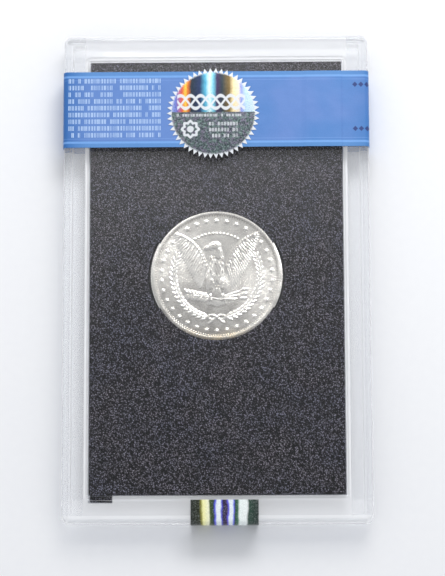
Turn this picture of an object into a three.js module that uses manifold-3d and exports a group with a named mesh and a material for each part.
// A graded coin slab: a flat clear plastic holder, welded shut round one large silver coin.
//
// Units are millimetres. Seen with its back face towards the viewer, +X is to the right,
// +Y is up the slab, and +Z comes out of the back face. The origin is the middle of the
// underside, z = 0 being the outer face of the label stuck on the front.
//
// From the front (low z) to the back (high z) the pieces are the grade label, the tamper
// band's front layer, the front shell, the black insert with the coin in it, the back
// shell, the band's back layer and the round foil seal. A foil strip folds round the
// bottom edge.

import * as THREE from 'three';
import { mergeVertices } from 'three/addons/utils/BufferGeometryUtils.js';
import Module from 'manifold-3d';

// ---- Driving dimensions ----------------------------------------------------------------

// The closed holder, both shells together.
const slabWidth = 88.2;
const slabHeight = 141.2;
const slabThickness = 9.5;
const cornerRadius = 2.2;
const edgeRadius = 1.5;

// The walls of one shell. The pocket rib stands round the insert, and the channel is the
// open moat between the rib and the outer wall.
const wallThickness = 2.5;
const channelPlate = 2.0;
const channelCorner = 0.8;
const ribThickness = 1.2;
const ribCorner = 1.5;
const pocketClearance = 0.25;
const pocketCorner = 0.3;
const weldGap = 0.02;

// The weld joint: a tongue on the back shell's wall and a groove in the front shell's.
const tongueWidth = 0.8;
const tongueHeight = 0.6;
const grooveClearance = 0.1;

// The insert, a plain black plate with one round seat. It lies a little above the middle.
const insertWidth = 72.8;
const insertHeight = 125.4;
const insertThickness = 3.0;
const insertCorner = 0.5;
const insertLift = 0.4;
const insertPlay = 0.1;

// The key tab at the insert's lower left. It stops the insert going in the wrong way up.
const keyInset = 0.3;
const keyWidth = 6.2;
const keyLength = 1.95;
const keyThickness = 1.35;
const keyClearance = 0.3;

// The coin, and the seat that it can turn in. Thin lips over the top and bottom arcs of
// the rim keep it in, and the sides of the opening are wider.
const coinRadius = 19.05;
const coinThickness = 2.4;
const coinRimWidth = 1.3;
const coinFieldDepth = 0.35;
const coinRimChamfer = 0.15;
const seatRadius = 19.3;
const seatSideRadius = 19.5;
const lipRadius = 18.7;
const lipThickness = 0.22;
const lipStart = THREE.MathUtils.degToRad(30);

// Stuck-on films. Each lies a hair above what it covers.
const filmThickness = 0.15;
const filmGap = 0.05;

// The paper band round the slab. Its ends lie over each other on the back, near the right.
const bandWidth = 22.3;
const bandMiddleY = 48.6;
const bandOuterEndX = 36.3;
const bandInnerEndX = 28.0;
const bandRampStartX = 24.5;
const bandRampEndX = 26.5;

// The round foil seal with its saw-tooth edge, over the band on the back.
const sealRadius = 13.4;
const sealToothDepth = 1.5;
const sealToothCount = 50;
const sealX = -0.8;
const sealY = 47.35;

// The foil strip folded round the bottom edge.
const stripWidth = 19.1;
const stripMiddleX = 2.05;
const stripLap = 6.9;

// The label on the band's front layer.
const labelWidth = 66;
const labelHeight = 18;
const labelCorner = 1.0;

// ---- Sizes worked out from them --------------------------------------------------------

const halfWidth = slabWidth / 2;
const halfHeight = slabHeight / 2;
const halfThickness = slabThickness / 2;
const filmPitch = filmThickness + filmGap;
const cavityHalfDepth = insertThickness / 2 + insertPlay;
const channelDepth = halfThickness - channelPlate;
const insertBottomY = insertLift - insertHeight / 2;
const keyLeftX = keyInset - insertWidth / 2;

// The label and the band's front layer lie under the front shell, so the mid-plane of the
// shells stands this high. The foil strip sticks out at the bottom only, so the shells
// lie half its stand-off above the origin.
const midPlaneZ = 2 * filmPitch + halfThickness;
const shellMiddleY = filmPitch / 2;

const arcSteps = 6;
const filmArcSteps = 5;
const coinSteps = 96;
const overcut = 1;

// ---- Materials -------------------------------------------------------------------------

const material = (color, roughness, metalness) =>
  new THREE.MeshStandardMaterial({ color, roughness, metalness });

const clearPlastic = () => {
  const plastic = material(0xe8edf2, 0.08, 0);
  plastic.transparent = true;
  plastic.opacity = 0.3;
  return plastic;
};

// ---- Solid helpers ---------------------------------------------------------------------

const wasm = await Module();
wasm.setup();

// Turns a closed three.js geometry into a solid that can be cut and joined.
function toSolid(geometry) {
  const bare = geometry.clone();
  bare.deleteAttribute('normal');
  bare.deleteAttribute('uv');
  const merged = mergeVertices(bare);
  const vertProperties = new Float32Array(merged.attributes.position.array);
  const triVerts = new Uint32Array(merged.index.array);
  return new wasm.Manifold(new wasm.Mesh({ numProp: 3, vertProperties, triVerts }));
}

// Turns a solid back into a three.js geometry.
function toGeometry(solid) {
  const mesh = solid.getMesh();
  const geometry = new THREE.BufferGeometry();
  geometry.setAttribute('position', new THREE.BufferAttribute(mesh.vertProperties, mesh.numProp));
  geometry.setIndex(new THREE.BufferAttribute(mesh.triVerts, 1));
  geometry.computeVertexNormals();
  return geometry;
}

// A rectangle with round corners, centred on (0, y).
function roundedRectangle(width, height, radius, y = 0) {
  const right = width / 2;
  const top = y + height / 2;
  const bottom = y - height / 2;
  const quarter = Math.PI / 2;
  const shape = new THREE.Shape();
  shape.absarc(right - radius, bottom + radius, radius, -quarter, 0);
  shape.absarc(right - radius, top - radius, radius, 0, quarter);
  shape.absarc(radius - right, top - radius, radius, quarter, 2 * quarter);
  shape.absarc(radius - right, bottom + radius, radius, 2 * quarter, 3 * quarter);
  shape.closePath();
  return shape;
}

// A straight-sided prism of a shape, between two heights.
function prism(shape, lowZ, highZ, curveSegments = arcSteps) {
  const settings = { depth: highZ - lowZ, bevelEnabled: false, curveSegments };
  return new THREE.ExtrudeGeometry(shape, settings).translate(0, 0, lowZ);
}

// A plain block between two corners.
function block(low, high) {
  const size = high.clone().sub(low);
  const middle = high.clone().add(low).multiplyScalar(0.5);
  return new THREE.BoxGeometry(size.x, size.y, size.z).translate(middle.x, middle.y, middle.z);
}

// ---- Shells ----------------------------------------------------------------------------

// The outer form of the closed holder, with every edge rounded, centred on the mid-plane.
function holderForm() {
  const settings = {
    depth: slabThickness - 2 * edgeRadius,
    bevelEnabled: true,
    bevelThickness: edgeRadius,
    bevelSize: edgeRadius,
    bevelOffset: -edgeRadius,
    bevelSegments: arcSteps,
    curveSegments: arcSteps,
  };
  const outline = roundedRectangle(slabWidth, slabHeight, cornerRadius);
  const form = new THREE.ExtrudeGeometry(outline, settings);
  return toSolid(form.translate(0, 0, edgeRadius - halfThickness));
}

// A ring that follows the holder's outline, `inset` inside it and `width` wide.
function outlineRing(inset, width, lowZ, highZ) {
  const outlineAt = (distance) => {
    const radius = cornerRadius - distance;
    return roundedRectangle(slabWidth - 2 * distance, slabHeight - 2 * distance, radius);
  };
  const ring = outlineAt(inset);
  ring.holes.push(outlineAt(inset + width));
  return toSolid(prism(ring, lowZ, highZ));
}

// One half of the holder, with its inside facing down and its parting face at z = 0.
function shellHalf() {
  const pocketWidth = insertWidth + 2 * pocketClearance;
  const pocketHeight = insertHeight + 2 * pocketClearance;
  const ribWidth = pocketWidth + 2 * ribThickness;
  const ribHeight = pocketHeight + 2 * ribThickness;
  const channelWidth = slabWidth - 2 * wallThickness;
  const channelHeight = slabHeight - 2 * wallThickness;
  const partingZ = weldGap / 2;

  const upperSide = toSolid(block(
    new THREE.Vector3(-slabWidth, -slabHeight, partingZ),
    new THREE.Vector3(slabWidth, slabHeight, slabThickness),
  ));
  const channelShape = roundedRectangle(channelWidth, channelHeight, channelCorner);
  const channel = toSolid(prism(channelShape, -overcut, channelDepth));
  const ribShape = roundedRectangle(ribWidth, ribHeight, ribCorner, insertLift);
  const rib = toSolid(prism(ribShape, partingZ, channelDepth + channelPlate / 2));
  const pocketShape = roundedRectangle(pocketWidth, pocketHeight, pocketCorner, insertLift);
  const pocket = toSolid(prism(pocketShape, -overcut, cavityHalfDepth));
  return holderForm().intersect(upperSide).subtract(channel).add(rib).subtract(pocket);
}

// The shell over the coin's back, with the tongue of the weld joint.
function backShell() {
  const inset = (wallThickness - tongueWidth) / 2;
  const tongue = outlineRing(inset, tongueWidth, -tongueHeight, tongueHeight);
  return toGeometry(shellHalf().add(tongue));
}

// The shell over the coin's front: the same moulding turned over, with the groove and
// with a notch in its rib for the insert's key tab.
function frontShell() {
  const grooveWidth = tongueWidth + 2 * grooveClearance;
  const inset = (wallThickness - grooveWidth) / 2;
  const groove = outlineRing(inset, grooveWidth, -tongueHeight - 2 * grooveClearance, overcut);
  const notch = toSolid(block(
    new THREE.Vector3(keyLeftX - keyClearance, insertBottomY - keyLength - keyClearance, -cavityHalfDepth),
    new THREE.Vector3(keyLeftX + keyWidth + keyClearance, insertBottomY + overcut, overcut),
  ));
  const turnedOver = shellHalf().rotate([0, 180, 0]);
  return toGeometry(turnedOver.subtract(groove).subtract(notch));
}

// ---- Insert and coin -------------------------------------------------------------------

// The opening seen from above: wide at the two sides, narrower under the two lips.
function seatOpening() {
  const opening = new THREE.Path();
  opening.absarc(0, 0, seatSideRadius, -lipStart, lipStart);
  opening.absarc(0, 0, lipRadius, lipStart, Math.PI - lipStart);
  opening.absarc(0, 0, seatSideRadius, Math.PI - lipStart, Math.PI + lipStart);
  opening.absarc(0, 0, lipRadius, Math.PI + lipStart, 2 * Math.PI - lipStart);
  opening.closePath();
  return opening;
}

// The black plate, centred on the coin. Its seat is a groove between the two lips.
function insertPlate() {
  const half = insertThickness / 2;
  const outline = roundedRectangle(insertWidth, insertHeight, insertCorner);
  outline.holes.push(seatOpening());
  const plate = toSolid(prism(outline, -half, half, coinSteps / 4));

  const grooveHeight = insertThickness - 2 * lipThickness;
  const groove = new THREE.CylinderGeometry(seatRadius, seatRadius, grooveHeight, coinSteps);
  const key = block(
    new THREE.Vector3(keyLeftX, -insertHeight / 2 - keyLength, -half),
    new THREE.Vector3(keyLeftX + keyWidth, overcut - insertHeight / 2, keyThickness - half),
  );
  return toGeometry(plate.subtract(toSolid(groove.rotateX(Math.PI / 2))).add(toSolid(key)));
}

// The coin: a disc with a raised, chamfered rim and a shallow field on each face.
function coinBlank() {
  const half = coinThickness / 2;
  const field = half - coinFieldDepth;
  const rimInner = coinRadius - coinRimWidth;
  const profile = [
    new THREE.Vector2(0, -field),
    new THREE.Vector2(rimInner - coinFieldDepth, -field),
    new THREE.Vector2(rimInner, -half),
    new THREE.Vector2(coinRadius - coinRimChamfer, -half),
    new THREE.Vector2(coinRadius, coinRimChamfer - half),
    new THREE.Vector2(coinRadius, half - coinRimChamfer),
    new THREE.Vector2(coinRadius - coinRimChamfer, half),
    new THREE.Vector2(rimInner, half),
    new THREE.Vector2(rimInner - coinFieldDepth, field),
    new THREE.Vector2(0, field),
  ];
  return new THREE.LatheGeometry(profile, coinSteps).rotateX(Math.PI / 2);
}

// ---- Films -----------------------------------------------------------------------------

// A quarter turn of a route round one rounded edge of the holder, `offset` outside it.
function edgeTurn(middleX, middleY, startAngle, offset) {
  const points = [];
  for (let step = 0; step <= filmArcSteps; step += 1) {
    const angle = startAngle - (step / filmArcSteps) * (Math.PI / 2);
    const reach = edgeRadius + offset;
    points.push(new THREE.Vector2(middleX + reach * Math.cos(angle), middleY + reach * Math.sin(angle)));
  }
  return points;
}

// The band's route round the holder, seen along +Y, `offset` outside the plastic. It starts
// at the inner end on the back, goes clockwise, and climbs over its own start at the end.
function bandRoute(offset) {
  const farX = halfWidth - edgeRadius;
  const farZ = halfThickness - edgeRadius;
  const surface = halfThickness + offset;
  const quarter = Math.PI / 2;
  return [
    new THREE.Vector2(bandInnerEndX, surface),
    ...edgeTurn(farX, farZ, quarter, offset),
    ...edgeTurn(farX, -farZ, 0, offset),
    ...edgeTurn(-farX, -farZ, -quarter, offset),
    ...edgeTurn(-farX, farZ, -2 * quarter, offset),
    new THREE.Vector2(bandRampStartX, surface),
    new THREE.Vector2(bandRampEndX, surface + filmPitch),
    new THREE.Vector2(bandOuterEndX, surface + filmPitch),
  ];
}

// The strip's route round the bottom edge, seen along -X, `offset` outside the plastic.
function stripRoute(offset) {
  const farY = halfHeight - edgeRadius;
  const farZ = halfThickness - edgeRadius;
  const lapEnd = halfHeight - stripLap;
  const surface = halfThickness + offset;
  const quarter = Math.PI / 2;
  return [
    new THREE.Vector2(lapEnd, surface),
    ...edgeTurn(farY, farZ, quarter, offset),
    ...edgeTurn(farY, -farZ, 0, offset),
    new THREE.Vector2(lapEnd, -surface),
  ];
}

// A film of the standard thickness along a route, `width` wide.
function film(route, width) {
  const outside = route(filmGap + filmThickness);
  const inside = route(filmGap).reverse();
  return prism(new THREE.Shape([...outside, ...inside]), -width / 2, width / 2);
}

// The round seal, its edge cut into even saw teeth.
function toothedDisc() {
  const outline = [];
  for (let point = 0; point < 2 * sealToothCount; point += 1) {
    const angle = (point / sealToothCount) * Math.PI;
    const reach = point % 2 === 0 ? sealRadius : sealRadius - sealToothDepth;
    outline.push(new THREE.Vector2(reach * Math.cos(angle), reach * Math.sin(angle)));
  }
  return prism(new THREE.Shape(outline), 0, filmThickness);
}

// ---- Assembly --------------------------------------------------------------------------

const slab = new THREE.Group();

function place(name, geometry, look, x, y, z) {
  const mesh = new THREE.Mesh(geometry, look);
  mesh.name = name;
  mesh.position.set(x, y, z);
  slab.add(mesh);
  return mesh;
}

place('front_shell', frontShell(), clearPlastic(), 0, shellMiddleY, midPlaneZ);
place('back_shell', backShell(), clearPlastic(), 0, shellMiddleY, midPlaneZ);

const seatY = shellMiddleY + insertLift;
place('insert', insertPlate(), material(0x2b2b2f, 0.6, 0), 0, seatY, midPlaneZ);
place('coin', coinBlank(), material(0xd5d6d8, 0.25, 1), 0, seatY, midPlaneZ);

// The band's section is drawn in X and Z, so it is stood up along Y.
const bandLook = material(0x6f9be2, 0.35, 0);
const bandY = shellMiddleY + bandMiddleY;
const band = place('tamper_band', film(bandRoute, bandWidth), bandLook, 0, bandY, midPlaneZ);
band.rotation.x = Math.PI / 2;

// The strip's section is drawn in -Y and Z, so it is laid along X.
const foilLook = material(0x8b8f9c, 0.2, 0.9);
const stripFilm = film(stripRoute, stripWidth);
const strip = place('edge_seal', stripFilm, foilLook, stripMiddleX, shellMiddleY, midPlaneZ);
strip.rotation.set(Math.PI / 2, -Math.PI / 2, 0);

const sealZ = midPlaneZ + halfThickness + filmPitch + filmGap;
place('round_seal', toothedDisc(), foilLook, sealX, shellMiddleY + sealY, sealZ);

const labelShape = roundedRectangle(labelWidth, labelHeight, labelCorner);
const labelLook = material(0xf2f3f5, 0.5, 0);
place('grade_label', prism(labelShape, 0, filmThickness), labelLook, 0, bandY, 0);

export default slab;
